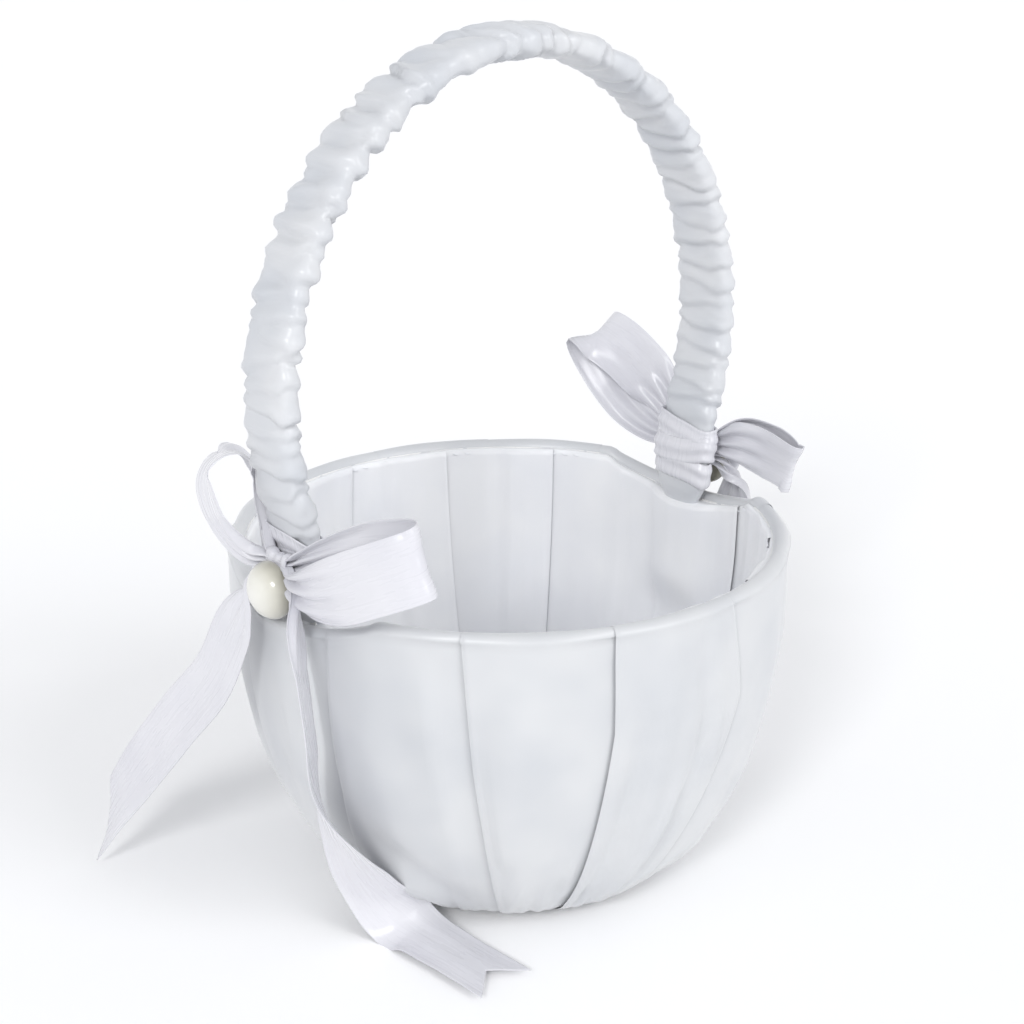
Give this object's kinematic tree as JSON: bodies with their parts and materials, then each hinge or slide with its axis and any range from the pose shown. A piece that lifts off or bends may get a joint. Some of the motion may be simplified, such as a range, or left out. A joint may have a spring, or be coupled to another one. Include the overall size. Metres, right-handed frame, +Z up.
{
  "type": "flower girl basket",
  "caption": "Small round satin-covered basket with a padded arch handle and a ribbon bow with a half pearl at each foot, for carrying petals.",
  "frame": {"origin": "middle of the flat underside that the basket stands on", "axes": "+Z up, the handle arches over in the XZ plane, bows at its feet on -X and +X"},
  "size_m": [0.167, 0.133, 0.2],
  "materials": {
    "satin": "white satin with a soft sheen, faintly cool",
    "ribbon": "white satin ribbon, brighter sheen",
    "shell_plastic": "plain moulded white plastic",
    "card": "stiff board under the floor cloth",
    "core_plastic": "plain white plastic strip",
    "wadding": "soft white wadding",
    "rivet_metal": "plain aluminium",
    "pearl": "warm pearl gloss with a soft lustre"
  },
  "bodies": {
    "root": {"base_disc": "satin", "bowl_shell": "shell_plastic", "outer_cover": "satin", "lining": "satin", "floor_card": "card", "floor_cloth": "satin", "handle_core": "core_plastic", "handle_wadding": "wadding", "handle_sleeve": "satin", "near_lower_rivet": "rivet_metal", "near_upper_rivet": "rivet_metal", "near_bow_tie": "ribbon", "near_bow_knot": "ribbon", "near_bow_loops": "ribbon", "near_bow_tails": "ribbon", "near_bow_pearl": "pearl", "far_lower_rivet": "rivet_metal", "far_upper_rivet": "rivet_metal", "far_bow_tie": "ribbon", "far_bow_knot": "ribbon", "far_bow_loops": "ribbon", "far_bow_tails": "ribbon", "far_bow_pearl": "pearl"}
  },
  "joints": []
}
